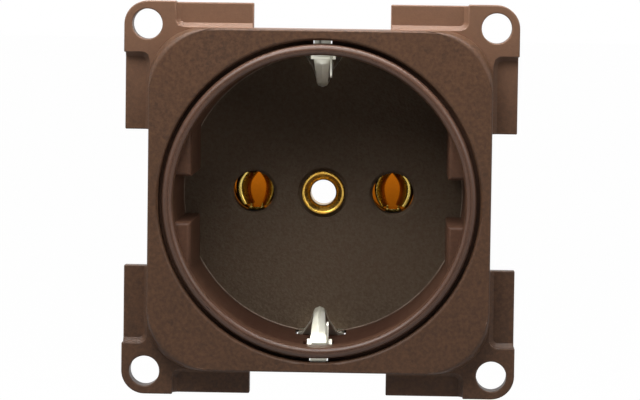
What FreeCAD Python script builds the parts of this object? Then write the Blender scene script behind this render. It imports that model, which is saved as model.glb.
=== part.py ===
# Earthed wall socket insert for panel mounting, with a round plug well in a square frame.
# Millimetres. +Z up, the plug goes in along +Y. The origin is the centre of the four
# fixing screws, on the back face of the ears.
import FreeCAD, Part
import math
import os

from FreeCAD import Vector

# Fixing flange: four ears on stepped legs, with a notch in the middle of each side
screw_spacing = 46.0
screw_hole_r = 2.0
ear_half = 26.05
ear_inner = 19.25
ear_corner_r = 3.1
ear_thick = 3.0
leg_half = 25.9
leg_thick = 1.8
notch_half = 9.05
recess_corner_r = 1.2
recess_foot = 0.6

# Raised square plate with the round hole
plate_half = 22.62
plate_corner_r = 7.0
plate_front = 5.6
plate_thick = 2.0
edge_depth = 2.2
edge_run = 0.12
corner_softening = 2.4
hole_r = 21.2
hole_chamfer = 0.3
seat_r = 21.75
pocket_half = 21.3
pocket_corner_r = 5.8

# Round well that takes the plug
rim_r = 20.68
rim_front = 6.0
rim_inner_r = 19.25
rim_outer_round = 0.62
rim_inner_round = 0.5
well_r = 20.2
floor_r = 19.0
floor_y = 11.5
floor_thick = 2.0
flange_r = 21.65
flange_thick = 1.5
key_half = 16.9
key_draft = 0.2
key_front = 4.2
key_gap_half = 3.02
key_round = 0.65
pin_spacing = 19.0
pin_hole_r = 2.8
pin_funnel_r = 3.2
window_half = 1.95
window_depths = (-2.3, 0.6)
slot_half = 3.4
slot_in_r = 18.6
slot_out_r = 19.7

# Snap fit of the well in the frame, on the diagonals
lug_half = 3.5
lug_reach = 25.2
lug_window_half = 1.8
lug_window = (22.7, 24.45)
hook_half = 1.5
hook_post = (22.95, 24.15)
hook_nose = 24.95

# Hollow rivet in the middle of the floor
rivet_hole_r = 2.3
rivet_r = 2.2
rivet_bore_r = 1.72
rivet_flare_r = 2.97
rivet_roll = 0.55
washer_r = 3.6
washer_thick = 0.4
counterbore_r = 3.4
counterbore_depth = 0.6

# Folded earth bracket, and the strip to its terminal
bracket_thick = 0.5
bracket_half = 3.1
root_r = 18.95
crest_r = 14.95
hook_sides = (-0.9, 1.2)
hook_slit = (-0.27, 0.0)
shoulder_sides = (-1.5, 1.85)
wing_sides = (1.1, 1.4)
strip_half = 2.5
strip_thick = 0.8
strip_fold_z = -8.6

# Rear housing, cover and their screws
housing_r = 19.7
housing_back = 27.0
cover_thick = 2.5
middle_hole_r = 3.8
housing_wall = 1.5
cell_front = 16.0
cell_gap = 0.4
tail_channel_half = 2.4
housing_screw_x = 15.9
housing_screw_head_r = 2.5
head_depth = 1.6
boss_r = 2.0
boss_length = 6.0
pilot_r = 1.05

# Pin contacts and terminals
leaf_thick = 0.42
leaf_points = 5
web_half = 1.0
tail_y = 20.4
tail_half = 2.2
tail_thick = 0.5
spring_r = 3.4
spring_inner_r = 3.08
spring_ends = (18.7, 20.2)
spring_gap_half = 1.2
terminal_x = pin_spacing / 2
terminal_z = -9.0
earth_terminal_z = -12.4
clamp_half = 3.5
clamp_half_z = 3.3
clamp_front = 16.4
clamp_back = 24.6
screw_r = 1.7
screw_head_r = 2.6
screw_head_thick = 1.8
slot_width = 0.8
slot_depth = 0.9

# Roundings below this radius are made as flat cuts
small_round = 0.6

back = Vector(0, 1, 0)
floor_back = floor_y + floor_thick
strap_back = floor_back + bracket_thick


def front_view(y):
    """Places an outline drawn as seen from the front at depth y."""
    return lambda p: Vector(p.x, y, p.y)


def side_view(x):
    """Places an outline of depth and height at a distance x to the right."""
    return lambda p: Vector(x, p.x, p.y)


def profile(p):
    """Places an outline of radius and depth ready to be turned about the y axis."""
    return Vector(p.x, p.y, 0)


def cut_round(start, centre, end, cuts):
    """Points along a rounding that is made of straight cuts."""
    spread = (start - centre).getAngle(end - centre)
    points = []
    for step in range(cuts + 1):
        near = math.sin(spread * (1 - step / cuts)) / math.sin(spread)
        far = math.sin(spread * step / cuts) / math.sin(spread)
        points.append(centre + (start - centre) * near + (end - centre) * far)
    return points


def outline(corners, place, cuts=0):
    """Closed outline through corners (a, b, radius), each rounded by its own radius.

    A large rounding is an arc and a small one a flat cut. With cuts, each is that many flat cuts."""
    stops = []
    for n, (a, b, radius) in enumerate(corners):
        here = Vector(a, b, 0)
        if not radius:
            stops.append((here, None, here))
            continue
        last, following = corners[n - 1], corners[(n + 1) % len(corners)]
        before = Vector(last[0], last[1], 0) - here
        after = Vector(following[0], following[1], 0) - here
        before.normalize()
        after.normalize()
        half_turn = before.getAngle(after) / 2
        run = radius / math.tan(half_turn)
        inward = before + after
        inward.normalize()
        centre = here + inward * (radius / math.sin(half_turn))
        start = here + before * run
        end = here + after * run
        if cuts or radius < small_round:
            stops += [(point, None, point) for point in cut_round(start, centre, end, cuts or 1)]
        else:
            stops.append((start, centre - inward * radius, end))
    edges = []
    for n, (first, middle, last) in enumerate(stops):
        if middle:
            edges.append(Part.Arc(place(first), place(middle), place(last)).toShape())
        following = stops[(n + 1) % len(stops)][0]
        if last.distanceToPoint(following) > 1e-6:
            edges.append(Part.LineSegment(place(last), place(following)).toShape())
    return Part.Wire(edges)


def square(half, radius, half_z=None):
    """Corners of a rounded square or rectangle about the middle."""
    high = half if half_z is None else half_z
    return [(half, high, radius), (-half, high, radius), (-half, -high, radius), (half, -high, radius)]


def block(corners, y0, y1):
    """A front-view outline extruded from depth y0 to y1."""
    return Part.Face(outline(corners, front_view(y0))).extrude(back * (y1 - y0))


def side_block(corners, x0, x1):
    """A side-view outline extruded from x0 to x1."""
    return Part.Face(outline(corners, side_view(x0))).extrude(Vector(x1 - x0, 0, 0))


def turned(corners, cuts=1):
    """A profile of radius and depth turned a full circle, with its edges eased by flat cuts."""
    return Part.Face(outline(corners, profile, cuts)).revolve(Vector(0, 0, 0), back, 360)


def rod(r, y0, y1, x=0.0, z=0.0):
    """A round rod along y."""
    return Part.makeCylinder(r, y1 - y0, Vector(x, y0, z), back)


def cone(r0, r1, y0, y1, x=0.0, z=0.0):
    """A cone along y, of radius r0 at y0 and r1 at y1."""
    return Part.makeCone(r0, r1, y1 - y0, Vector(x, y0, z), back)


def box(x0, x1, y0, y1, z0, z1):
    """A plain box between two corners."""
    return Part.makeBox(x1 - x0, y1 - y0, z1 - z0, Vector(x0, y0, z0))


def quarter(shape, n):
    """The shape turned n quarter turns about the y axis."""
    copy = shape.copy()
    copy.rotate(Vector(0, 0, 0), back, 90 * n)
    return copy


def flipped(shape):
    """The mirror image of a shape, top to bottom."""
    return shape.mirror(Vector(0, 0, 0), Vector(0, 0, 1))


def diagonal(shape):
    """A shape built along +x, copied onto the four diagonals."""
    copies = []
    for n in range(4):
        copy = shape.copy()
        copy.rotate(Vector(0, 0, 0), back, 45 + 90 * n)
        copies.append(copy)
    return copies


def fused(first, *others):
    """One solid from pieces that overlap or share faces."""
    return first.fuse(list(others)).removeSplitter()


def folded(points, thick, bend_r):
    """Outline of a bent strip: the points run along its right side, the sheet lies to their left."""
    def unit(a, b):
        step = Vector(b[0] - a[0], b[1] - a[1], 0)
        return step.normalize()

    right, left = [], []
    last = len(points) - 1
    for n, (a, b) in enumerate(points):
        one = unit(points[n - 1], points[n]) if n else unit(points[0], points[1])
        two = unit(points[n], points[n + 1]) if n < last else one
        lean = Vector(-one.y - two.y, one.x + two.x, 0)
        lean.normalize()
        reach = thick / (lean.y * one.x - lean.x * one.y)
        turning = one.x * two.y - one.y * two.x
        sharp = abs(turning) < 1e-6
        inner, outer = (0, 0) if sharp else (bend_r, bend_r + thick)
        right.append((a, b, outer if turning > 0 else inner))
        left.append((a + lean.x * reach, b + lean.y * reach, inner if turning > 0 else outer))
    return right + left[::-1]


def soft_plate():
    """The raised plate, with an edge that is nearly sharp at the sides and soft at the corners."""
    stages = []
    steps = 4
    for n in range(steps + 1):
        angle = math.pi / 2 * n / steps
        rise = edge_depth * math.sin(angle)
        shrink = 1 - math.cos(angle)
        half = plate_half - edge_run * shrink
        radius = plate_corner_r + corner_softening * shrink
        stages.append(outline(square(half, radius), front_view(-plate_front + edge_depth - rise)))
    edge = Part.makeLoft(stages, True, True)
    body = block(square(plate_half, plate_corner_r), -plate_front + edge_depth, 0)
    return fused(body, edge)


def flange_corner():
    """One ear with its two stepped legs, at the top right."""
    far = leg_half
    near = plate_half - 1.0
    ear = block([(ear_half, ear_half, ear_corner_r), (ear_inner, ear_half, 0), (ear_inner, ear_inner, 0),
                 (ear_half, ear_inner, 0)], -ear_thick, 0)
    leg = block([(ear_inner + 2, near, 0), (ear_inner + 2, far, 0), (notch_half, far, 0),
                 (notch_half, near, 0)], -ear_thick, 0)
    recess = box(notch_half - 1, ear_inner, -ear_thick - 1, -leg_thick, plate_half, far + 1)
    upright = [e for e in recess.Edges if on_line(e, ear_inner, plate_half)]
    recess = recess.makeFillet(recess_corner_r, upright)
    foot = [e for e in recess.Edges if e.BoundBox.YMin > -leg_thick - 0.01 and touches_wall(e)]
    recess = recess.makeChamfer(recess_foot, foot)
    leg = leg.cut(recess)
    ear = ear.cut(recess)
    other = leg.mirror(Vector(0, 0, 0), Vector(1, 0, -1))
    cut = recess.mirror(Vector(0, 0, 0), Vector(1, 0, -1))
    hole = screw_spacing / 2
    corner = fused(ear.cut(cut), leg, other)
    return corner.cut(rod(screw_hole_r, -ear_thick - 1, 1, hole, hole))


def on_line(edge, x, z):
    """Whether an edge runs along y at x and z."""
    b = edge.BoundBox
    return abs(b.XMin - x) + abs(b.XMax - x) + abs(b.ZMin - z) + abs(b.ZMax - z) < 0.01


def touches_wall(edge):
    """Whether an edge of a recess borders the plate's or the ear's wall."""
    b = edge.BoundBox
    by_plate = b.ZMax < plate_half + recess_corner_r + 0.1 and b.XMax > notch_half
    return by_plate or b.XMin > ear_inner - 0.01


def frame_hook():
    """A snap hook behind the plate, built along +x."""
    plate_back = -plate_front + plate_thick
    lug_back = plate_back + 0.05 + flange_thick
    near, far = hook_post
    catch = lug_back + 0.05
    tip = lug_back + 1.4
    points = [(near, plate_back - 0.3, 0), (far, plate_back - 0.3, 0), (far, catch, 0),
              (hook_nose, catch, 0.1), (far - 0.2, tip, 0.2), (near, tip, 0.3)]
    face = Part.Face(outline(points, lambda p: Vector(p.x, p.y, -hook_half)))
    return face.extrude(Vector(0, 0, 2 * hook_half))


def mounting_frame():
    """Square plate with its round hole, hollow corners and fixing flange, in one moulding."""
    body = soft_plate()
    corners = [quarter(flange_corner(), n) for n in range(4)]
    body = fused(body, *corners)
    plate_back = -plate_front + plate_thick
    body = body.cut(rod(hole_r, -plate_front - 1, 1))
    body = body.cut(cone(hole_r + hole_chamfer, hole_r, -plate_front, -plate_front + hole_chamfer))
    body = body.cut(rod(seat_r, plate_back, 1))
    body = body.cut(block(square(pocket_half, pocket_corner_r), plate_back, 1))
    return fused(body, *diagonal(frame_hook()))


def key_blocks():
    """The four blocks at the sides of the well that keep a plug from turning."""
    sides = []
    for n in (0, 2):
        near_floor = key_half - key_draft
        root = floor_y + 0.5
        wedge = [(key_half, -key_front, 0), (near_floor, root, 0), (floor_r + 1, root, 0),
                 (floor_r + 1, -key_front, 0)]
        face = Part.Face(outline(wedge, lambda p: Vector(p.x, p.y, key_gap_half)))
        one = face.extrude(Vector(0, 0, 8))
        lips = [e for e in one.Edges if e.BoundBox.YMax < -key_front + 0.01
                and (e.BoundBox.XMax < key_half + 0.01 or e.BoundBox.ZMax < key_gap_half + 0.01)]
        one = one.makeFillet(key_round, lips)
        one = one.common(rod(floor_r + 0.7, -rim_front, floor_back))
        sides += [quarter(one, n), quarter(flipped(one), n)]
    return sides


def well_lug():
    """A corner lug of the well with the window that its hook snaps through, built along +x."""
    front = -plate_front + plate_thick + 0.05
    lug = block([(lug_reach, -lug_half, 0.8), (lug_reach, lug_half, 0.8), (well_r - 0.5, lug_half, 0),
                 (well_r - 0.5, -lug_half, 0)], front, front + flange_thick)
    near, far = lug_window
    window = box(near, far, front - 1, front + flange_thick + 1, -lug_window_half, lug_window_half)
    return lug.cut(window)


def socket_well():
    """Round well with its rounded rim, wall, floor, key blocks and the openings for the metal parts."""
    front = -plate_front + plate_thick + 0.05
    shell = turned([(0, floor_back, 0), (well_r, floor_back, 0), (well_r, front + flange_thick, 0),
                    (flange_r, front + flange_thick, 0), (flange_r, front, 0), (rim_r, front, 0),
                    (rim_r, -rim_front, rim_outer_round), (rim_inner_r, -rim_front, rim_inner_round),
                    (floor_r, floor_y, 0), (0, floor_y, 0)], 2)
    boss_end = floor_back + boss_length
    bosses = [rod(boss_r, floor_back - 0.5, boss_end, side * housing_screw_x) for side in (-1, 1)]
    well = fused(shell, *bosses)
    well = fused(well, *diagonal(well_lug()))
    well = fused(well, *key_blocks())
    for side in (-1, 1):
        x = side * pin_spacing / 2
        well = well.cut(rod(pin_hole_r, floor_y - 1, floor_back + 1, x))
        funnel = pin_funnel_r - pin_hole_r
        well = well.cut(cone(pin_funnel_r, pin_hole_r, floor_y, floor_y + funnel, x))
        well = well.cut(rod(pilot_r, floor_back + 0.4, boss_end + 1, side * housing_screw_x))
    well = well.cut(rod(rivet_hole_r, floor_y - 1, floor_back + 1))
    well = well.cut(rod(counterbore_r, floor_y - 1, floor_y + counterbore_depth))
    window = box(-window_half, window_half, *window_depths, floor_r - 1, well_r + 0.3)
    notch = box(hook_sides[0] - 0.2, hook_sides[1] + 0.2, front - 1, window_depths[0] + 0.3,
                rim_r + 0.01, flange_r + 1)
    channel = box(-slot_half, slot_half, 6.8, floor_back + 1, slot_in_r, slot_out_r)
    for tool in (window, notch, channel):
        well = well.cut(tool)
        well = well.cut(flipped(tool))
    return well


def centre_rivet():
    """Hollow rivet that clamps the earth bracket and strip to the floor, rolled over at both ends."""
    seat = floor_y + counterbore_depth
    end = strap_back + strip_thick + washer_thick
    return turned([(rivet_bore_r, floor_y + 0.6, 0), (rivet_flare_r - 0.6, floor_y, 0),
                   (rivet_flare_r, floor_y + 0.25, 0), (rivet_flare_r, seat, 0), (rivet_r, seat, 0),
                   (rivet_r, end, 0), (rivet_flare_r, end, 0), (rivet_flare_r - 0.5, end + rivet_roll, 0),
                   (rivet_bore_r, end + rivet_roll, 0)])


def rivet_washer():
    """Washer under the rear roll of the rivet."""
    start = strap_back + strip_thick
    washer = rod(washer_r, start, start + washer_thick)
    return washer.cut(rod(rivet_hole_r, start - 1, start + 1))


def tongue_section(y, r, lean, half, ridge, x=0.0):
    """Cross-section of an earth tongue: a sheet ridged along its middle, square to its path.

    lean is the path's angle in degrees, 0 along -y and 90 straight away from the axis."""
    across = Vector(0, -math.sin(math.radians(lean)), -math.cos(math.radians(lean)))
    centre = Vector(x, y, r)
    places = [(-half, 0), (0, ridge), (half, 0), (half, -bracket_thick), (0, ridge - bracket_thick),
              (-half, -bracket_thick)]
    points = [centre + Vector(u, 0, 0) + across * w for u, w in places]
    return Part.makePolygon(points + points[:1])


def earth_tongue():
    """The sprung tongue at the top of the well, from its root in the floor to its shoulder."""
    stations = [
        (9.0, root_r, 0, bracket_half, 0.0),
        (7.7, 18.55, -40, 2.4, 0.0),
        (6.2, 16.75, -50, 1.25, 0.2),
        (4.9, 15.4, -36, 0.85, 0.25),
        (3.7, crest_r, 0, 0.62, 0.25),
        (2.4, 15.4, 40, 0.78, 0.25),
        (-0.3, 18.0, 48, 1.05, 0.2),
        (-1.1, 18.95, 52, 1.2, 0.0),
    ]
    sections = [tongue_section(*station) for station in stations]
    spring = Part.makeLoft(sections, True, True)
    outside = root_r + bracket_thick
    root = box(-bracket_half, bracket_half, stations[0][0], floor_back + 0.3, root_r, outside)
    return fused(spring, root)


def tongue_shoulder(slit):
    """Shoulder and hook of the upper tongue, through the window and forward into the gap."""
    outer = hole_r - 0.05
    hook = side_block(folded([(-1.3, 19.0), (-1.45, outer), (-4.6, outer)], 0.4, 0.15), *hook_sides)
    shoulder = side_block(folded([(-0.55, 18.7), (-1.2, 20.3)], 0.4, 0), *shoulder_sides)
    wing = [(-2.0, 19.9, 0), (-2.0, 16.3, 0.4), (-1.0, 16.1, 0.4), (-0.4, 17.8, 0.8), (-0.9, 19.9, 0)]
    body = fused(hook, shoulder, side_block(wing, *wing_sides))
    if slit:
        body = body.cut(box(*hook_slit, -5, -2.6, 20, 22))
    return body


def earth_bracket():
    """Strap behind the floor with a tongue at each end, folded from one piece of sheet."""
    reach = root_r + bracket_thick
    strap = box(-bracket_half, bracket_half, floor_back, strap_back, -reach, reach)
    tongue = earth_tongue()
    body = fused(strap, tongue, flipped(tongue))
    body = fused(body, tongue_shoulder(True), flipped(tongue_shoulder(False)))
    return body.cut(rod(rivet_hole_r, floor_back - 1, strap_back + 1))


def earth_strip():
    """Strip from the rivet to the earth terminal, folded twice."""
    path = [(strap_back, 3.4), (strap_back, strip_fold_z), (tail_y, strip_fold_z), (tail_y, -15.7)]
    strip = side_block(folded(path, strip_thick, 0.4), -strip_half, strip_half)
    ring = rod(3.4, strap_back, strap_back + strip_thick)
    keep = fused(ring, box(-strip_half, strip_half, strap_back - 1, 30, -20, 0))
    strip = fused(strip.common(keep), ring)
    return strip.cut(rod(rivet_hole_r, strap_back - 1, strap_back + 2))


def contact_leaf():
    """Right-hand leaf of a pin contact: a lip, a narrow throat and a wide back, drawn about x = 0."""
    # depth, half width inside, half width at the bottom edge, half gap at the top edge
    stations = [(13.6, 2.12, 0.9, 0.85), (15.6, 1.15, 0.9, 0.08), (17.6, 1.8, 0.9, 0.4),
                (19.2, 2.45, 0.9, 0.9), (20.4, 2.6, 0.9, 1.1)]
    sections = []
    for y, bulge, low, gap in stations:
        inner = Part.Arc(Vector(low, y, -2.1), Vector(bulge, y, -0.1), Vector(gap, y, 2.3))
        outside = Vector(bulge + leaf_thick, y, -0.1)
        outer = Part.Arc(Vector(gap + 0.38, y, 2.48), outside, Vector(low + 0.25, y, -2.45))
        points = inner.discretize(leaf_points) + outer.discretize(leaf_points)
        sections.append(Part.makePolygon(points + points[:1]))
    return Part.makeLoft(sections, True, True)


def pin_contact(x):
    """A pin contact: two sprung leaves on a bottom web, whose tail goes down to the terminal."""
    leaf = contact_leaf()
    other = leaf.mirror(Vector(0, 0, 0), Vector(1, 0, 0))
    web = box(-web_half, web_half, 14.9, tail_y + 0.1, -2.6, -2.1)
    shape = [(tail_half, -3.2, 0.6), (tail_half, -12.5, 0.3), (-tail_half, -12.5, 0.3),
             (-tail_half, -3.2, 0.6), (-web_half, -2.1, 0.2), (web_half, -2.1, 0.2)]
    tail = block(shape, tail_y, tail_y + tail_thick)
    body = fused(leaf, other, web, tail)
    body.translate(Vector(x, 0, 0))
    return body


def contact_spring(x):
    """Open steel ring round the back of a contact's leaves."""
    start, end = spring_ends
    ring = rod(spring_r, start, end).cut(rod(spring_inner_r, start - 1, end + 1))
    ring = ring.cut(box(-spring_gap_half, spring_gap_half, start - 1, end + 1, 0, 5))
    ring.translate(Vector(x, 0, 0))
    return ring


def terminal_clamp(x, z):
    """Cage of a terminal, open from top to bottom, with a threaded back wall for its screw."""
    cage = block(square(clamp_half, 0.4, clamp_half_z), clamp_front, clamp_back)
    cage = cage.cut(box(-clamp_half + 1, clamp_half - 1, clamp_front + 1.2, clamp_back - 1.8, -9, 9))
    cage = cage.cut(rod(screw_r + 0.02, clamp_back - 3, clamp_back + 1))
    cage.translate(Vector(x, 0, z))
    return cage


def terminal_screw(x, z, tip_y):
    """Slotted screw that presses on a tail."""
    head_y = clamp_back + 0.3
    top = head_y + screw_head_thick
    shank = turned([(0, tip_y, 0), (screw_r, tip_y, 0), (screw_r, head_y, 0), (screw_head_r, head_y, 0),
                    (screw_head_r, top, 0), (0, top, 0)])
    screw = shank.cut(box(-slot_width / 2, slot_width / 2, top - slot_depth, top + 1, -4, 4))
    screw.translate(Vector(x, 0, z))
    return screw


def contact_base():
    """Rear housing with a cell for each contact and terminal, open at the back."""
    body = turned([(0, floor_back, 0), (housing_r, floor_back, 0), (housing_r, housing_back, 0),
                   (0, housing_back, 0)])
    start = floor_back - 1
    end = housing_back + 1
    tails = (-tail_channel_half, tail_channel_half)
    tools = [
        rod(middle_hole_r, start, end),
        rod(4.4, start, 16.4),
        box(-3.3, 3.3, start, strap_back + 0.05, -25, 25),
        box(-2.8, 2.8, start, 16.5, strip_fold_z - 0.3, 0),
        cell(0, earth_terminal_z, strip_fold_z + 1.2),
        box(*tails, 16.4, 20.9, -25, earth_terminal_z),
    ]
    for side in (-1, 1):
        x = side * pin_spacing / 2
        tools += [
            rod(3.6, start, end, x),
            box(x - 2.5, x + 2.5, cell_front, end, terminal_z, -2),
            cell(x, terminal_z, terminal_z + clamp_half_z + cell_gap),
            box(x + tails[0], x + tails[1], 16.4, 20.9, -25, terminal_z),
            rod(boss_r + 0.15, start, end, side * housing_screw_x),
            hollow(side),
        ]
    for tool in tools:
        body = body.cut(tool)
    return body


def cell(x, z, top):
    """Space for a terminal at height z, up to a given top."""
    left = x - clamp_half - cell_gap
    right = x + clamp_half + cell_gap
    low = z - clamp_half_z - cell_gap
    corners = [(right, top, 0.5), (left, top, 0.5), (left, low, 0.5), (right, low, 0.5)]
    return block(corners, cell_front, housing_back + 1)


def hollow(side):
    """Cored-out space in the upper part of the housing, on one side of its middle rib."""
    corners = [(side * 0.8, 5.6, 0.5), (side * 0.8, 18, 0.5), (side * 17, 18, 0), (side * 17, 5.0, 0.5)]
    if side < 0:
        corners = corners[::-1]
    space = block(corners, cell_front, housing_back + 1)
    return space.common(rod(housing_r - housing_wall, 10, 30))


def rear_cover():
    """Round cover with a hole in the middle, over each terminal screw and for its own two screws."""
    front = housing_back
    outside = housing_back + cover_thick
    disc = turned([(0, front, 0), (housing_r, front, 0), (housing_r, outside, 0.7), (0, outside, 0)])
    disc = disc.cut(rod(middle_hole_r, front - 1, outside + 1))
    for x, z in terminals.values():
        disc = disc.cut(rod(screw_head_r + 0.1, front - 1, outside + 1, x, z))
    for side in (-1, 1):
        x = side * housing_screw_x
        disc = disc.cut(rod(1.45, front - 1, outside + 1, x))
        disc = disc.cut(rod(housing_screw_head_r + 0.1, outside - head_depth, outside + 1, x))
    return disc


def housing_screw(side):
    """Self-tapping screw through the cover and housing into a boss of the well."""
    seat = housing_back + cover_thick - head_depth
    top = seat + head_depth - 0.1
    tip = floor_back + 1.2
    shank_r = pilot_r - 0.03
    body = turned([(0, tip, 0), (shank_r, tip, 0), (shank_r, seat, 0), (housing_screw_head_r, seat, 0),
                   (housing_screw_head_r, top, 0), (0, top, 0)])
    wide, long = slot_width / 2, 1.5
    for half_x, half_z in ((wide, long), (long, wide)):
        body = body.cut(box(-half_x, half_x, top - slot_depth, top + 1, -half_z, half_z))
    body.translate(Vector(side * housing_screw_x, 0, 0))
    return body


terminals = {
    "line": (-terminal_x, terminal_z),
    "neutral": (terminal_x, terminal_z),
    "earth": (0.0, earth_terminal_z),
}

nodes = {
    "mounting_frame": mounting_frame(),
    "socket_well": socket_well(),
    "centre_rivet": centre_rivet(),
    "rivet_washer": rivet_washer(),
    "earth_bracket": earth_bracket(),
    "earth_strip": earth_strip(),
    "contact_base": contact_base(),
    "rear_cover": rear_cover(),
    "housing_screw_left": housing_screw(-1),
    "housing_screw_right": housing_screw(1),
}
for name, (x, z) in terminals.items():
    press_y = tail_y + (strip_thick if name == "earth" else tail_thick)
    nodes[name + "_clamp"] = terminal_clamp(x, z)
    nodes[name + "_screw"] = terminal_screw(x, z, press_y)
    if name != "earth":
        nodes[name + "_contact"] = pin_contact(x)
        nodes[name + "_contact_spring"] = contact_spring(x)

os.makedirs("parts", exist_ok=True)
for name, shape in nodes.items():
    print(name, "valid", shape.isValid(), "solids", len(shape.Solids), "volume", round(shape.Volume, 1))
    shape.exportStep("parts/" + name + ".step")
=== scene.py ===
"""The look of an earthed panel socket: its pieces' fine shapes and finishes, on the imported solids."""

import bmesh
import bpy
import math
from mathutils import Matrix, Vector


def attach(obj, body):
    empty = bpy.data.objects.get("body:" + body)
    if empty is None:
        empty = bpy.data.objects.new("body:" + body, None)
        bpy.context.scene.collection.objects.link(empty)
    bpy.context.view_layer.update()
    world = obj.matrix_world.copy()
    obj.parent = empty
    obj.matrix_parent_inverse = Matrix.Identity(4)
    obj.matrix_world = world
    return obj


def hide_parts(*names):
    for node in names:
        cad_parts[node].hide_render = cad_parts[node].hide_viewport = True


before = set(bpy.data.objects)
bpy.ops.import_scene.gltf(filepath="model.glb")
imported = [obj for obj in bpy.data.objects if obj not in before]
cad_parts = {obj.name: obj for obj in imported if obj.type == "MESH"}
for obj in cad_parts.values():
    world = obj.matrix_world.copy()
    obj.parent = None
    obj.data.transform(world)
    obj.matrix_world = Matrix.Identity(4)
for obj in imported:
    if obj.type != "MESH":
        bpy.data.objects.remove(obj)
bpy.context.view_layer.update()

MM = 0.001

# The camera: degrees, distance in metres, lens in millimetres, shift in shares of the picture's width
CAMERA_TURN = 1.86
CAMERA_HEIGHT = 4.23
CAMERA_ROLL = 0.77
CAMERA_DISTANCE = 0.45
CAMERA_LENS = 193.1
FRAME_SHIFT = (1.2 / 640, 2.3 / 640)
RIM_FRONT = -6.0 * MM

# Places on the socket in millimetres: y runs from the front to the back, z upwards
PIN_X = 9.5
WELL_FLOOR = 11.5
COVER_FACE = 27.0
THROAT_LIGHT = 3.4

BLACK = (0, 0, 0, 1)
WHITE = (1, 1, 1, 1)


def paint(red, green, blue):
    """A colour given as screen values from 0 to 255, in linear light."""
    levels = []
    for value in (red, green, blue):
        share = value / 255
        levels.append(share / 12.92 if share <= 0.04045 else ((share + 0.055) / 1.055) ** 2.4)
    return (*levels, 1.0)


class Signal:
    """An output of a node that takes part in sums."""

    def __init__(self, owner, socket):
        self.owner = owner
        self.socket = socket

    def maths(self, operation, *values):
        """A Math node on these values, or on the signal alone."""
        return self.owner.add("ShaderNodeMath", {"operation": operation}, dict(enumerate(values or [self])))

    def beside(self, name):
        """Another output of the same node."""
        return Signal(self.owner, self.socket.node.outputs[name])

    def __add__(self, other):
        return self.maths("ADD", self, other)

    def __sub__(self, other):
        return self.maths("SUBTRACT", self, other)

    def __rsub__(self, other):
        return self.maths("SUBTRACT", other, self)

    def __mul__(self, other):
        return self.maths("MULTIPLY", self, other)

    def __truediv__(self, other):
        return self.maths("DIVIDE", self, other)

    def __rtruediv__(self, other):
        return self.maths("DIVIDE", other, self)

    def __gt__(self, other):
        return self.maths("GREATER_THAN", self, other)

    def __lt__(self, other):
        return self.maths("LESS_THAN", self, other)

    __radd__ = __add__
    __rmul__ = __mul__


class Nodes:
    """A node tree that is filled node by node."""

    def __init__(self, tree):
        self.tree = tree

    def add(self, kind, settings=(), values=(), output=0):
        """A node of a kind, with its settings first and then its sockets' values or links."""
        node = self.tree.nodes.new(kind)
        for key, setting in dict(settings).items():
            setattr(node, key, setting)
        self.feed(node, values)
        return Signal(self, node.outputs[output]) if node.outputs else None

    def feed(self, node, values):
        """Sets or links a node's sockets. A list is linked one by one to the same socket."""
        for key, value in dict(values).items():
            signals = value if isinstance(value, list) else [value]
            for signal in signals:
                if isinstance(signal, Signal):
                    self.tree.links.new(signal.socket, node.inputs[key])
                else:
                    node.inputs[key].default_value = signal


class Finish(Nodes):
    """A material's nodes."""

    def __init__(self, name):
        self.name = name
        self.material = bpy.data.materials.new(name)
        self.material.use_nodes = True
        super().__init__(self.material.node_tree)
        self.shader = self.tree.nodes["Principled BSDF"]
        self.tone = None
        self.place = self.add("ShaderNodeTexCoord", output="Object")

    def set(self, **values):
        """Sets or links the shader's sockets, named with _ for a space."""
        self.feed(self.shader, {key.replace("_", " "): value for key, value in values.items()})
        return self

    def noise(self, size, detail=2.0, rough=0.5, stretch=(1, 1, 1)):
        """Cloudy noise from 0 to 1, with patches of a size in millimetres."""
        spot = self.place
        if stretch != (1, 1, 1):
            spot = self.add("ShaderNodeMapping", {}, {"Vector": spot, "Scale": stretch})
        values = {"Vector": spot, "Scale": 1 / (size * MM), "Detail": detail, "Roughness": rough}
        return self.add("ShaderNodeTexNoise", {}, values)

    def pits(self, size):
        """Distance to the nearest of scattered points, for pitted surfaces."""
        values = {"Vector": self.place, "Scale": 1 / (size * MM)}
        return self.add("ShaderNodeTexVoronoi", {"feature": "F1"}, values)

    def spread(self, signal, low, high):
        """Stretches a signal's low to high over 0 to 1, and holds it there."""
        return self.add("ShaderNodeMapRange", {}, {"Value": signal, "From Min": low, "From Max": high})

    def mix(self, share, first, second):
        """A mix of two colours."""
        return self.add("ShaderNodeMix", {"data_type": "RGBA"}, {0: share, 6: first, 7: second}, 2)

    def axis(self, name):
        """A coordinate in metres: X, Y or Z."""
        return self.add("ShaderNodeSeparateXYZ", {}, {0: self.place}, name)

    def from_to(self, name, low, high):
        """0 to 1 along a coordinate, between two places in millimetres."""
        return self.spread(self.axis(name), low * MM, high * MM)

    def near_pin(self, x, radius):
        """1 within a radius of a pin's axis, in millimetres, and 0 outside."""
        flat = self.add("ShaderNodeVectorMath", {"operation": "MULTIPLY"}, {0: self.place, 1: (1, 0, 1)})
        ends = {0: flat, 1: (x * MM, 0, 0)}
        return self.add("ShaderNodeVectorMath", {"operation": "DISTANCE"}, ends, "Value") < radius * MM

    def relief(self, height, depth):
        """Surface relief of a depth in millimetres, from a signal."""
        return self.add("ShaderNodeBump", {}, {"Height": height, "Distance": depth * MM})


# Pale and dark spots in moulded plastic
FLECK, SPECK = paint(112, 80, 58), paint(52, 40, 34)


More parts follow.
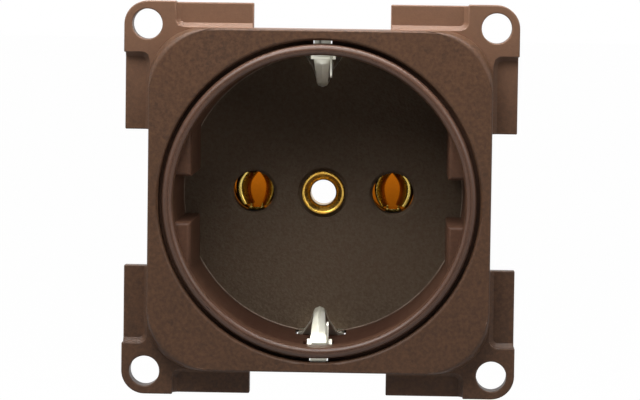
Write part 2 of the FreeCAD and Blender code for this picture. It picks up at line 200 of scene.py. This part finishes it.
def moulded(name, colour, shade, roughness, grain, grain_depth):
    """Moulded plastic: slow shade changes, fine grain and a faint waviness."""
    finish = Finish(name)
    cloud = finish.spread(finish.noise(7.0, 3.0), 0.3, 0.7)
    fleck = finish.spread(finish.noise(0.5, 3.0, 0.7), 0.38, 0.66)
    speck = finish.noise(1.1, 2.0) > 0.62
    tone = finish.mix(cloud, colour, shade)
    tone = finish.mix(fleck * 0.42, tone, FLECK)
    finish.tone = finish.mix(speck * 0.25, tone, SPECK)
    grains = finish.noise(grain, 3.0, 0.6)
    waves = finish.noise(4.0, 1.0)
    finish.set(Base_Color=finish.tone, Roughness=roughness + (cloud * 0.06 + fleck * 0.05))
    finish.set(Normal=finish.relief(grains + waves * 0.8, grain_depth), Specular_IOR_Level=0.22)
    return finish


def frame_plastic():
    """Satin brown plastic of the plate and its flange, whose upper ears get painted light: a paler tone."""
    finish = moulded("frame_plastic", paint(82, 58, 43), paint(73, 52, 39), 0.36, 0.22, 0.02)
    # Painted light: the upper ears and flange front are made paler, standing in for light from above
    painted_top_light = finish.from_to("Z", 6, 23) * finish.from_to("Y", -3.7, -3.05)
    return finish.set(Base_Color=finish.mix(painted_top_light * 0.55, finish.tone, paint(134, 100, 79)))


def well_plastic():
    """Brown plastic of the well, glossy on the rim, with painted shade low on its wall, and spark-grained
    on its floor.
    """
    finish = Finish("well_plastic")
    floor = finish.from_to("Y", WELL_FLOOR - 0.6, WELL_FLOOR - 0.2)
    rim = finish.from_to("Y", -4.6, -5.2)
    # Mask of the painted shade: the well's wall low down, behind the rim
    low = finish.from_to("Z", -11, -17) * finish.from_to("Y", -3.6, -2.0)
    cloud = finish.spread(finish.noise(6.0, 3.0), 0.3, 0.7)
    fleck = finish.spread(finish.noise(0.42, 3.0, 0.7), 0.38, 0.66)
    tone = finish.mix(cloud, paint(86, 60, 47), paint(77, 54, 42))
    tone = finish.mix(fleck * 0.35, tone, paint(112, 80, 62))
    # Painted shade: the lower wall is darkened and reddened
    tone = finish.mix(low * 0.55, tone, paint(48, 24, 18))
    tone = finish.mix(floor * (0.6 + fleck * 0.4), tone, paint(103, 90, 75))
    grain = finish.noise(0.3, 3.0, 0.65) + finish.pits(0.45) * 0.5
    fine = finish.noise(0.16, 2.0) * 0.12
    finish.set(Base_Color=tone, Roughness=0.46 + floor * 0.08 - rim * 0.1 + cloud * 0.05)
    finish.set(Coat_Weight=0.12 + rim * 0.45 - floor * 0.12, Coat_Roughness=0.3)
    return finish.set(Normal=finish.relief(grain * floor + fine, 0.085), Specular_IOR_Level=0.05)


def housing_plastic():
    """Dark brown plastic of the rear housing and cover, with a painted warm glow on the cover behind the
    contacts.
    """
    finish = moulded("housing_plastic", paint(70, 52, 46), paint(62, 46, 40), 0.45, 0.25, 0.01)
    # Painted glow: an emission on the cover behind the contacts stands in for the warm light that the brass
    # throws there
    depth = finish.axis("Y")
    inside = (depth > (COVER_FACE - 0.1) * MM) * (depth < (COVER_FACE + 0.1) * MM)
    lit = (finish.near_pin(-PIN_X, THROAT_LIGHT) + finish.near_pin(PIN_X, THROAT_LIGHT)) * inside
    height = finish.spread(finish.axis("Z") + finish.noise(1.2, 2.0) * (1.2 * MM), -2.4 * MM, 2.6 * MM)
    painted_glow_colour = finish.mix(height, paint(118, 62, 6), paint(170, 92, 12))
    return finish.set(Emission_Color=finish.mix(lit, BLACK, painted_glow_colour), Emission_Strength=1.0)


def metal(name, colour, tint, roughness, line=(1, 1, 1), bare=1.0):
    """Bare or plated metal, with faint drawing lines and a patchy tint."""
    finish = Finish(name)
    patch = finish.spread(finish.noise(1.6, 3.0), 0.35, 0.7)
    lines = finish.noise(0.12, 2.0, 0.5, line)
    finish.set(Base_Color=finish.mix(patch, colour, tint), Metallic=bare)
    finish.set(Roughness=roughness + (patch * 0.08 + lines * 0.08))
    return finish.set(Normal=finish.relief(lines, 0.003))


# How drawing lines are stretched: from front to back, or from side to side
lengthwise, sideways = (1, 0.2, 1), (0.2, 1, 1)
finishes = {finish.name: finish for finish in (
    frame_plastic(),
    well_plastic(),
    housing_plastic(),
    # Pale colour of the floor's edge ring: a painted highlight
    moulded("moulding_line", paint(176, 158, 142), paint(104, 86, 72), 0.4, 0.2, 0.01),
    metal("contact_brass", paint(226, 200, 112), paint(204, 168, 78), 0.2, lengthwise),
    metal("rivet_brass", paint(232, 190, 92), paint(212, 160, 66), 0.2, lengthwise),
    metal("earth_metal", paint(240, 238, 224), paint(228, 226, 206), 0.3, sideways, 0.72),
    metal("spring_steel", paint(180, 180, 182), paint(160, 158, 156), 0.28),
    metal("terminal_steel", paint(205, 205, 202), paint(188, 190, 180), 0.3),
)}


# Planes that part each solid's flat faces, so that none has a hole in it: direction and place
across, upward, falling, rising = (1, 0, 0), (0, 0, 1), (1, 0, 1), (1, 0, -1)
parting = {
    "mounting_frame": ((falling, 0), (rising, 0)),
    "socket_well": ((across, 0), (upward, 0), (falling, 0), (rising, 0)),
    "contact_base": ((across, 0), (upward, 0)),
    "rear_cover": ((across, 0), (upward, 0), (upward, -9)),
}


# Half-round bead of the well's rim in millimetres: middle radius, foot, half sizes and the solid's edges
BEAD_RADIUS, BEAD_FOOT, BEAD_HALF, BEAD_HEIGHT = 19.96, -5.3, 0.72, 0.7
BEAD_INNER, BEAD_OUTER = 19.2, 20.8

# Angles between faces: in a flat face, in a curved one, on the bead, over an outer edge, at a sharp corner
FLAT, CURVED, BEADED, EDGED, CREASED = (math.radians(angle) for angle in (0.6, 40, 8, 28, 35))
WELD = 0.002 * MM


def edge_middle(edge):
    """An edge's middle in millimetres."""
    return (edge.verts[0].co + edge.verts[1].co) / 2 / MM


def cramped(edge):
    """Whether an edge lies beside a plate corner's narrow wedge, or in the well's notch for a hook."""
    middle = edge_middle(edge)
    wide, narrow = sorted((abs(middle.x), abs(middle.z)), reverse=True)
    wedge = middle.y < -2.9 and 21.9 < wide < 22.8 and 15 < narrow < 19.3
    notch = middle.y < -2 and 20.4 < wide < 21.7 and narrow < 2
    return wedge or notch


def on_bead(edge):
    """Whether an edge runs round the well's rounded rim."""
    middle = edge_middle(edge)
    near = middle.y < BEAD_FOOT and BEAD_INNER < math.hypot(middle.x, middle.z) < BEAD_OUTER
    return near and edge.calc_face_angle() > BEADED


def placed(name, data):
    """A new object in the scene, with its mesh, lamp or camera."""
    piece = bpy.data.objects.new(name, data)
    bpy.context.scene.collection.objects.link(piece)
    return piece


def merged_copy(node, name, fine=1.0):
    """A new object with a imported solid's mesh in whole faces, its outer edges marked for easing.

    The edges off the well's bead get only the share fine of the width.
    """
    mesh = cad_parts[node].data.copy()
    mesh.name = name
    if "custom_normal" in mesh.attributes:
        mesh.attributes.remove(mesh.attributes["custom_normal"])
    form = bmesh.new()
    form.from_mesh(mesh)
    bmesh.ops.remove_doubles(form, verts=form.verts, dist=WELD)
    for direction, place in parting.get(node, ()):
        normal = Vector(direction).normalized()
        split = bmesh.ops.bisect_plane(
            form, geom=form.verts[:] + form.edges[:] + form.faces[:], dist=2 * WELD,
            plane_co=normal * place * MM, plane_no=normal)
        for item in split["geom_cut"]:
            if isinstance(item, bmesh.types.BMEdge):
                item.seam = True
    bmesh.ops.dissolve_limit(form, angle_limit=FLAT, verts=form.verts, edges=form.edges, delimit={"SEAM"})
    weight = form.edges.layers.float.new("bevel_weight_edge")
    for edge in form.edges:
        angle = edge.calc_face_angle()
        bead = node == "socket_well" and on_bead(edge)
        outer = edge.is_convex and angle > EDGED and not cramped(edge)
        edge[weight] = 1.0 if bead else fine if outer else 0.0
        edge.smooth = bead or angle < CURVED
    form.to_mesh(mesh)
    form.free()
    mesh.materials.clear()
    return placed(name, mesh)


def applied(piece):
    """Turns a piece's modifiers into plain mesh."""
    graph = bpy.context.evaluated_depsgraph_get()
    shown = piece.evaluated_get(graph)
    mesh = bpy.data.meshes.new_from_object(shown, preserve_all_data_layers=True, depsgraph=graph)
    piece.modifiers.clear()
    piece.data = mesh
    return piece


def bead_turn(vertex):
    """A point's radius and its angle round the bead's middle, or no angle off the bead."""
    x, y, z = (value / MM for value in vertex.co)
    radius = math.hypot(x, z)
    if y < BEAD_FOOT and abs(radius - BEAD_RADIUS) < BEAD_HALF + 0.1:
        return radius, math.atan2((BEAD_FOOT - y) / BEAD_HEIGHT, (radius - BEAD_RADIUS) / BEAD_HALF)
    return radius, None


def rolled(piece):
    """Moves the rim's points onto a half-round bead."""
    for vertex in piece.data.vertices:
        radius, turn = bead_turn(vertex)
        if turn is not None:
            share = (BEAD_RADIUS + BEAD_HALF * math.cos(turn)) / radius
            x, y, z = vertex.co
            vertex.co = (x * share, (BEAD_FOOT - BEAD_HEIGHT * math.sin(turn)) * MM, z * share)


def polished(piece):
    """Gives the bead the exact normals of its round."""
    mesh = piece.data
    normals = [corner.vector.copy() for corner in mesh.corner_normals]
    for loop in mesh.loops:
        vertex = mesh.vertices[loop.vertex_index]
        radius, turn = bead_turn(vertex)
        if turn is not None:
            outward = math.cos(turn) / BEAD_HALF / radius / MM
            rise = -math.sin(turn) / BEAD_HEIGHT
            normals[loop.index] = Vector((vertex.co.x * outward, rise, vertex.co.z * outward)).normalized()
    mesh.normals_split_custom_set(normals)
    return piece


def eased(piece, width, segments=2, after=None):
    """Rounds a piece's edges by a width in millimetres and smooths its curved faces.

    The function after, if given, reshapes the rounded mesh before it is smoothed.
    """
    bevel = piece.modifiers.new("ease", "BEVEL")
    bevel.width = width * MM
    bevel.segments = segments
    bevel.limit_method = "WEIGHT"
    bevel.use_clamp_overlap = False
    bevel.miter_outer = "MITER_ARC"
    for face in piece.data.polygons:
        face.use_smooth = True
    if after:
        after(applied(piece))
    level = piece.modifiers.new("level", "WEIGHTED_NORMAL")
    level.keep_sharp = True
    level.weight = 100
    return applied(piece)


class Shape(Nodes):
    """A Geometry Nodes tree along the z axis, whose sizes are named inputs."""

    def __init__(self, name, *sizes):
        super().__init__(bpy.data.node_groups.new(name, "GeometryNodeTree"))
        sockets = {"Section": "Geometry", "Finish": "Material", "Place": "Vector"}
        sockets.update({size: "Float" for size in sizes})
        for label, kind in sockets.items():
            self.tree.interface.new_socket(label, in_out="INPUT", socket_type="NodeSocket" + kind)
        self.tree.interface.new_socket("Piece", in_out="OUTPUT", socket_type="NodeSocketGeometry")

    def given(self, name):
        """One of the tree's inputs."""
        return self.add("NodeGroupInput", output=name)

    def raised(self, form, height):
        """A form moved up the axis."""
        place = self.add("ShaderNodeCombineXYZ", {}, {"Z": height})
        return self.add("GeometryNodeTransform", {}, {"Geometry": form, "Translation": place})

    def bar(self, wide, long, tall):
        """A block round the origin."""
        size = self.add("ShaderNodeCombineXYZ", {}, {"X": wide, "Y": long, "Z": tall})
        return self.add("GeometryNodeMeshCube", {}, {"Size": size})

    def swept(self, path, profile):
        """A profile carried along a path."""
        values = {"Curve": path, "Profile Curve": profile, "Fill Caps": True}
        return self.add("GeometryNodeCurveToMesh", {}, values)

    def round_path(self, radius, points):
        """A closed circle round the axis."""
        values = {"Resolution": points, "Radius": radius}
        return self.add("GeometryNodeCurvePrimitiveCircle", {"mode": "RADIUS"}, values)

    def end(self, *forms):
        """Joins the forms, turns them to lie along y and puts them in their place."""
        whole = self.add("GeometryNodeJoinGeometry", {}, {0: list(forms)})
        turned = {"Geometry": whole, "Rotation": (-math.pi / 2, 0, 0), "Translation": self.given("Place")}
        whole = self.add("GeometryNodeTransform", {}, turned)
        whole = self.add("GeometryNodeRealizeInstances", {}, {0: whole})
        clad = {"Geometry": whole, "Material": self.given("Finish")}
        self.add("NodeGroupOutput", {}, {0: self.add("GeometryNodeSetMaterial", {}, clad)})
        return self

    def made(self, name, finish, place, section=(), **sizes):
        """A plain mesh from the tree for one set of sizes in millimetres."""
        mesh = bpy.data.meshes.new(name)
        links = [(n - 1, n) for n in range(1, len(section))]
        mesh.from_pydata([(x * MM, y * MM, 0) for x, y in section], links, [])
        piece = placed(name, mesh)
        values = {"Finish": finishes[finish].material, "Place": [value * MM for value in place]}
        values.update({label.replace("_", " "): value * MM for label, value in sizes.items()})
        maker = piece.modifiers.new("shape", "NODES")
        maker.node_group = self.tree
        for item in self.tree.interface.items_tree:
            if item.in_out == "INPUT" and item.name in values:
                maker[item.identifier] = values[item.name]
        return creased(applied(piece))


def creased(piece):
    """Smooths a piece's faces and keeps its corners."""
    form = bmesh.new()
    form.from_mesh(piece.data)
    bmesh.ops.remove_doubles(form, verts=form.verts, dist=WELD)
    for edge in form.edges:
        edge.smooth = edge.calc_face_angle(0.0) < CREASED
    for face in form.faces:
        face.smooth = True
    form.to_mesh(piece.data)
    form.free()
    return piece


def screw_shape(name, cross):
    """A screw with its head up: chamfered head with a slot or a cross cut in it, and a threaded shank."""
    sizes = ("Shank Radius", "Shank Length", "Head Radius", "Head Height", "Chamfer", "Slot Width",
             "Slot Length", "Slot Depth", "Thread Depth", "Thread Pitch")
    shape = Shape(name, *sizes)
    shank, length, head, height, chamfer, wide, long, deep, thread, pitch = map(shape.given, sizes)
    root = shank - thread
    core = shape.add("GeometryNodeMeshCylinder", {}, {"Vertices": 40, "Radius": root, "Depth": length})
    core = shape.raised(core, length / 2)
    turns = {"Resolution": 28, "Rotations": length / pitch - 1, "Start Radius": root, "End Radius": root,
             "Height": length - pitch}
    helix = shape.raised(shape.add("GeometryNodeCurveSpiral", {}, turns), pitch / 2)
    ridge = shape.round_path(thread, 4)
    block = {"Vertices": 56, "Radius": head, "Depth": height - chamfer}
    block = shape.add("GeometryNodeMeshCylinder", {}, block, "Mesh")
    lid = {"Mesh": block, "Selection": block.beside("Top"), "Offset Scale": chamfer}
    lid = shape.add("GeometryNodeExtrudeMesh", {}, lid, "Mesh")
    taper = {"Geometry": lid, "Selection": lid.beside("Top"), "Scale": (head - chamfer) / head}
    disc = shape.raised(shape.add("GeometryNodeScaleElements", {}, taper), length + (height - chamfer) / 2)
    cutters = [shape.raised(shape.bar(wide, long, deep * 2), length + height)]
    if cross:
        # The second cutter goes a little deeper, because two equal floors would leave open edges
        cutters.append(shape.raised(shape.bar(long, wide, deep * 2.05), length + height))
    cut = {"Mesh 1": disc, "Mesh 2": cutters}
    disc = shape.add("GeometryNodeMeshBoolean", {"operation": "DIFFERENCE"}, cut)
    return shape.end(core, shape.swept(helix, ridge), disc)


def ring_shape():
    """A ring of flat strip, open at the top."""
    shape = Shape("open ring", "Radius", "Strip", "Breadth", "Half Gap")
    gap = (shape.given("Half Gap") / shape.given("Radius")).maths("ARCSINE")
    bend = {"Resolution": 64, "Radius": shape.given("Radius"), "Start Angle": gap - math.pi / 2,
            "Sweep Angle": 2 * math.pi - 2 * gap}
    path = shape.add("GeometryNodeCurveArc", {"mode": "RADIUS"}, bend)
    strip = {"Width": shape.given("Strip"), "Height": shape.given("Breadth")}
    return shape.end(shape.swept(path, shape.add("GeometryNodeCurvePrimitiveQuadrilateral", {}, strip)))


def turned_shape():
    """A closed section of radius and height, turned about the axis."""
    shape = Shape("turned", "Middle Radius")
    section = shape.add("GeometryNodeMeshToCurve", {}, {"Mesh": shape.given("Section")})
    return shape.end(shape.swept(shape.round_path(shape.given("Middle Radius"), 96), section))


def fitted(piece, slot, *nodes, finish=None):
    """Gives a piece its finish and lets it stand for the solids it refines."""
    piece.data.materials.clear()
    piece.data.materials.append(finishes[finish or slot].material)
    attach(piece, "root")
    if nodes:
        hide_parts(*nodes)


# Finish of each refined solid and width of its softened edges, in millimetres
softened = {
    "mounting_frame": ("frame_plastic", 0.14),
    "contact_base": ("housing_plastic", 0.12),
    "rear_cover": ("housing_plastic", 0.15),
    "earth_bracket": ("earth_metal", 0.06),
    "earth_strip": ("earth_metal", 0.08),
    "line_clamp": ("terminal_steel", 0.1),
    "neutral_clamp": ("terminal_steel", 0.1),
    "earth_clamp": ("terminal_steel", 0.1),
    "rivet_washer": ("contact_brass", 0.06),
}
BEAD_EASE, WELL_EASE = 0.17, 0.1
well = merged_copy("socket_well", "socket_well_shown", WELL_EASE / BEAD_EASE)
well = eased(well, BEAD_EASE, 3, rolled)
fitted(polished(well), "well_plastic", "socket_well")
for node, (slot, width) in softened.items():
    fitted(eased(merged_copy(node, node + "_shown"), width), slot, node)


# Pin contacts: height, half width between the lips and half width of the throat, in millimetres
leaf_lines = (
    (-2.2, 1.45, 0.62), (-1.9, 1.66, 0.72), (-1.5, 1.88, 0.88), (-0.9, 2.12, 1.06),
    (-0.3, 2.25, 1.15), (0.3, 2.27, 1.16), (0.9, 2.18, 1.02), (1.4, 1.98, 0.8), (1.8, 1.72, 0.52),
    (2.1, 1.5, 0.28), (2.35, 1.3, 0.08),
)
# Path of a leaf from its outer side round the lip to the back: share from throat to lip, depth
leaf_path = (
    (1.24, 15.2), (1.22, 14.4), (1.16, 13.98), (1.04, 13.8), (0.9, 13.86), (0.76, 14.08), (0.6, 14.36),
    (0.4, 14.72), (0.16, 15.3), (0.0, 16.6), (0.12, 17.5), (0.42, 18.6), (0.75, 19.5), (0.95, 20.35),
)
LEAF_THICKNESS, LEAF_LIFT = 0.3, 0.3
# Depths of the two feet, the web and the tail, half the gap of the feet and the easing of all four
FOOT_FRONT, FOOT_BACK, WEB_FRONT, TAIL_FRONT, TAIL_BACK = 14.4, 15.1, 17.5, 20.4, 20.9
FOOT_APART, TAIL_EASE = 0.76, 0.08
# Half of a tail's outline from the web down to its end: half width, height
tail_edge = ((1.0, -2.5), (1.1, -2.8), (1.7, -3.0), (2.2, -3.6), (2.2, -12.2), (1.9, -12.5))


def curved(points, steps):
    """Points along a smooth curve through the given ones."""
    line = []
    last = len(points) - 1
    for n in range(last):
        a, b, c, d = (Vector(points[max(0, min(last, n + k))]) for k in (-1, 0, 1, 2))
        for step in range(steps):
            t = step / steps
            near = b * 2 + (c - a) * t
            bend = (a * 2 - b * 5 + c * 4 - d) * t ** 2 + (b * 3 - a - c * 3 + d) * t ** 3
            line.append((near + bend) / 2)
    return line + [Vector(points[-1])]


def sheet(form, rows):
    """Faces of a grid of points."""
    grid = [[form.verts.new(point) for point in row] for row in rows]
    for upper, lower in zip(grid, grid[1:]):
        for n in range(len(upper) - 1):
            form.faces.new((upper[n], upper[n + 1], lower[n + 1], lower[n]))


def slab(form, outline, y0, y1):
    """A flat plate with an outline seen from the front, between two depths."""
    front = [form.verts.new((x * MM, y0 * MM, z * MM)) for x, z in outline]
    behind = [form.verts.new((x * MM, y1 * MM, z * MM)) for x, z in outline]
    form.faces.new(front)
    form.faces.new(behind[::-1])
    for n in range(len(outline)):
        last = n - 1
        form.faces.new((front[last], behind[last], behind[n], front[n]))


def built(name, form):
    """A new object from a bmesh, its faces outward."""
    bmesh.ops.recalc_face_normals(form, faces=form.faces)
    mesh = bpy.data.meshes.new(name)
    form.to_mesh(mesh)
    form.free()
    for face in mesh.polygons:
        face.use_smooth = True
    return placed(name, mesh)


def joined(name, *pieces):
    """One object from several, their meshes put together."""
    form = bmesh.new()
    for piece in pieces:
        form.from_mesh(piece.data)
        bpy.data.objects.remove(piece)
    mesh = bpy.data.meshes.new(name)
    form.to_mesh(mesh)
    form.free()
    return placed(name, mesh)


def leaf_pair(x, drift):
    """A contact's two sprung leaves with rolled lips and a drop-shaped throat between them."""
    form = bmesh.new()
    path = curved(leaf_path, 2)
    for side in (-1, 1):
        rows = []
        for height, lip, throat in curved(leaf_lines, 3):
            row = []
            for share, depth in path:
                half = throat + (lip - throat) * share
                row.append(Vector((x + drift + side * half, depth, height + LEAF_LIFT)) * MM)
            rows.append(row if side > 0 else row[::-1])
        sheet(form, rows)
    piece = built("leaves", form)
    shell = piece.modifiers.new("thickness", "SOLIDIFY")
    shell.thickness = LEAF_THICKNESS * MM
    shell.offset = -1
    shell.use_even_offset = True
    return applied(piece)


def block_outline(x, half, low, high):
    """Corners of an upright rectangle."""
    return [(x + half, low), (x + half, high), (x - half, high), (x - half, low)]


def web_and_tail(x, drift):
    """The web under a contact's leaves with its two feet, and its tail down to the terminal."""
    form = bmesh.new()
    slab(form, block_outline(x, 1.0, -2.75, -2.5), WEB_FRONT, TAIL_FRONT)
    for foot in (x + drift - FOOT_APART, x + drift + FOOT_APART):
        slab(form, block_outline(foot, 0.22, -2.55, -2.12), FOOT_FRONT, FOOT_BACK)
        slab(form, block_outline(foot, 0.1, -2.55, -1.75), FOOT_BACK, TAIL_FRONT)
    right = [(x + half, height) for half, height in reversed(tail_edge)]
    left = [(x - half, height) for half, height in tail_edge]
    slab(form, right + left, TAIL_FRONT, TAIL_BACK)
    piece = built("web", form)
    bevel = piece.modifiers.new("ease", "BEVEL")
    bevel.width = TAIL_EASE * MM
    bevel.segments = 2
    bevel.angle_limit = CREASED
    return applied(piece)


# Terminal screws in millimetres: depth of the heads' undersides, then each one's x, z and depth of the tip
TERMINAL_HEAD = 24.9
terminals = {"line": (-PIN_X, -9.0, 20.9), "neutral": (PIN_X, -9.0, 20.9), "earth": (0.0, -12.4, 21.2)}
slotted = screw_shape("slotted screw", cross=False)
for name, (x, z, tip) in terminals.items():
    screw = slotted.made(
        name + "_screw_shown", "terminal_steel", (x, tip, z), Shank_Radius=1.7,
        Shank_Length=TERMINAL_HEAD - tip, Head_Radius=2.6, Head_Height=1.8, Chamfer=0.25, Slot_Width=0.8,
        Slot_Length=6.0, Slot_Depth=0.9, Thread_Depth=0.25, Thread_Pitch=0.7)
    fitted(screw, "terminal_steel", name + "_screw")

HOUSING_SCREW_X, HOUSING_SCREW_TIP = 15.9, 14.7
recessed = screw_shape("cross recessed screw", cross=True)
for side, x in (("left", -HOUSING_SCREW_X), ("right", HOUSING_SCREW_X)):
    screw = recessed.made(
        f"housing_screw_{side}_shown", "terminal_steel", (x, HOUSING_SCREW_TIP, 0), Shank_Radius=1.02,
        Shank_Length=13.2, Head_Radius=2.5, Head_Height=1.5, Chamfer=0.4, Slot_Width=0.8,
        Slot_Length=3.0, Slot_Depth=0.9, Thread_Depth=0.2, Thread_Pitch=1.0)
    fitted(screw, "terminal_steel", "housing_screw_" + side)

# Springs round the contacts
SPRING_DEPTH = 19.45
spring = ring_shape()
for name, x in (("line", -PIN_X), ("neutral", PIN_X)):
    ring = spring.made(
        name + "_contact_spring_shown", "spring_steel", (x, SPRING_DEPTH, 0),
        Radius=3.24, Strip=0.32, Breadth=1.5, Half_Gap=1.2)
    fitted(ring, "spring_steel", name + "_contact_spring")

# Half section of the hollow rivet, radius and depth: front roll from the bore outwards, shank, rear roll
RIVET_BORE = 1.72
rivet_front = ((1.72, 12.6), (1.78, 12.2), (2.02, 11.88), (2.34, 11.62), (2.6, 11.45), (2.78, 11.42),
               (2.9, 11.5), (2.96, 11.66), (2.96, 11.9))
rivet_shank = ((2.96, 12.1), (2.2, 12.1), (2.2, 15.2))
rivet_rear = ((2.95, 15.2), (2.93, 15.45), (2.75, 15.68), (2.4, 15.75), (2.0, 15.73), (1.72, 15.6))
section = [*curved(rivet_front, 4), *rivet_shank, *curved(rivet_rear, 4)]
section = [(radius - RIVET_BORE, -depth) for radius, depth in section]
turned = turned_shape()
rivet = turned.made("centre_rivet_shown", "rivet_brass", (0, 0, 0), section + section[:1],
                    Middle_Radius=RIVET_BORE)
fitted(rivet, "contact_brass", "centre_rivet", finish="rivet_brass")

# Thin ring round the well's floor, raised and coloured pale as a painted highlight along the floor's edge:
# middle radius, depth and half thickness, in millimetres
LINE_RADIUS, LINE_DEPTH, LINE_HALF = 18.96, 11.44, 0.08
eighths = [n * math.pi / 4 for n in range(9)]
circle = [(math.cos(turn) * LINE_HALF, math.sin(turn) * LINE_HALF) for turn in eighths]
line = turned.made("floor_line", "moulding_line", (0, LINE_DEPTH, 0), circle, Middle_Radius=LINE_RADIUS)
fitted(line, "well_plastic", finish="moulding_line")

# The left contact's leaves stand a little to the right of its tail
for node, x, drift in (("line_contact", -PIN_X, 0.3), ("neutral_contact", PIN_X, 0.0)):
    contact = joined(node + "_shown", leaf_pair(x, drift), web_and_tail(x, drift))
    fitted(contact, "contact_brass", node)


# White floor in metres: half size, height, and where the part begins that the object mirrors
FLOOR_REACH, FLOOR_LEVEL, FLOOR_MIRRORED = 2.5, -0.045, -0.8
# Share of plain white in the floor, which leaves its shadow a little room, and the brightness of that white
FLOOR_SHARE, FLOOR_WHITE = 0.93, 1.06


def white_floor():
    """Pale floor that looks white to the camera and keeps a faint shadow."""
    finish = Finish("floor")
    finish.set(Base_Color=(0.3, 0.3, 0.3, 1.0), Roughness=1.0)
    seen = finish.add("ShaderNodeLightPath", output="Is Camera Ray")
    mirrored = finish.add("ShaderNodeLightPath", output="Is Glossy Ray")
    shown = (seen + mirrored * (finish.axis("Y") > FLOOR_MIRRORED)) * FLOOR_SHARE
    glow = finish.add("ShaderNodeEmission", {}, {"Color": WHITE, "Strength": FLOOR_WHITE})
    body = Signal(finish, finish.shader.outputs[0])
    both = finish.add("ShaderNodeMixShader", {}, {0: shown, 1: body, 2: glow})
    finish.feed(finish.tree.nodes["Material Output"], {"Surface": both})
    mesh = bpy.data.meshes.new("floor")
    around = ((-1, -1), (1, -1), (1, 1), (-1, 1))
    corners = [(x * FLOOR_REACH, y * FLOOR_REACH, FLOOR_LEVEL) for x, y in around]
    mesh.from_pydata(corners, [], [(0, 1, 2, 3)])
    mesh.materials.append(finish.material)
    floor = placed("floor", mesh)


# Brightness of the tent and of the dark room that the object mirrors, and of the light from all around
TENT, ROOM, AROUND = 1.4, 0.05, 0.01


def surroundings():
    """A white backdrop behind the object, a pale tent round it and a dark room before it."""
    world = bpy.data.worlds.new("room")
    world.use_nodes = True
    bpy.context.scene.world = world
    room = Nodes(world.node_tree)
    # A direction's depth is -1 straight before the object and 1 straight behind it
    direction = room.add("ShaderNodeTexCoord", output="Generated")
    depth = room.add("ShaderNodeSeparateXYZ", {}, {0: direction}, "Y")
    behind = {"Value": depth, "From Min": -0.35, "From Max": 0.5}
    behind = room.add("ShaderNodeMapRange", {}, behind)
    tent = {"Value": depth, "From Min": -0.9, "From Max": -0.72, "To Min": ROOM, "To Max": TENT}
    tent = room.add("ShaderNodeMapRange", {}, tent)
    seen, through, glossy = (room.add("ShaderNodeLightPath", output=f"Is {ray} Ray")
                             for ray in ("Camera", "Transmission", "Glossy"))
    clear = seen + through
    mirrored = tent + behind * (1 - TENT)
    strength = clear + glossy * mirrored + (1 - clear - glossy) * AROUND
    room.feed(world.node_tree.nodes["Background"], {"Color": WHITE, "Strength": strength})


def toward(turn, height):
    """The direction from the object to a turn and height in degrees."""
    turn, height = math.radians(turn), math.radians(height)
    flat = math.cos(height)
    return Vector((math.sin(turn) * flat, -math.cos(turn) * flat, math.sin(height)))


def softbox(name, turn, height, distance, size, power):
    """A soft lamp that faces the object."""
    data = bpy.data.lights.new(name, "AREA")
    data.shape = "RECTANGLE"
    data.size, data.size_y = size
    data.energy = power
    lamp = placed(name, data)
    away = toward(turn, height)
    lamp.location = away * distance
    lamp.rotation_euler = away.to_track_quat("Z", "Y").to_euler()


def main_camera():
    """A long lens a little above and to the right of the socket's axis."""
    away = toward(CAMERA_TURN, CAMERA_HEIGHT)
    roll = math.radians(CAMERA_ROLL)
    right = (-away).cross(Vector((0, 0, 1))).normalized()
    upward = right.cross(-away)
    side = right * math.cos(roll) + upward * math.sin(roll)
    top = upward * math.cos(roll) - right * math.sin(roll)
    data = bpy.data.cameras.new("camera")
    data.sensor_width = 36
    data.lens = CAMERA_LENS
    data.shift_x, data.shift_y = FRAME_SHIFT
    data.clip_start = 0.01
    camera = placed("camera", data)
    spot = Vector((0, RIM_FRONT, 0)) + away * CAMERA_DISTANCE
    aim = Matrix((side, top, away)).transposed().to_4x4()
    camera.matrix_world = Matrix.Translation(spot) @ aim
    bpy.context.scene.camera = camera


main_camera()
white_floor()
surroundings()
# Turn and height in degrees, distance and size in metres, power in watts
softbox("front softbox", -32, 46, 0.19, (0.15, 0.1), 0.215)
softbox("high softbox", -8, 58, 0.17, (0.15, 0.08), 0.18)
softbox("top softbox", -8, 86, 0.09, (0.14, 0.012), 0.12)
softbox("side softbox", 50, 20, 0.35, (0.1, 0.1), 0.165)
bpy.context.scene.view_settings.view_transform = "Standard"
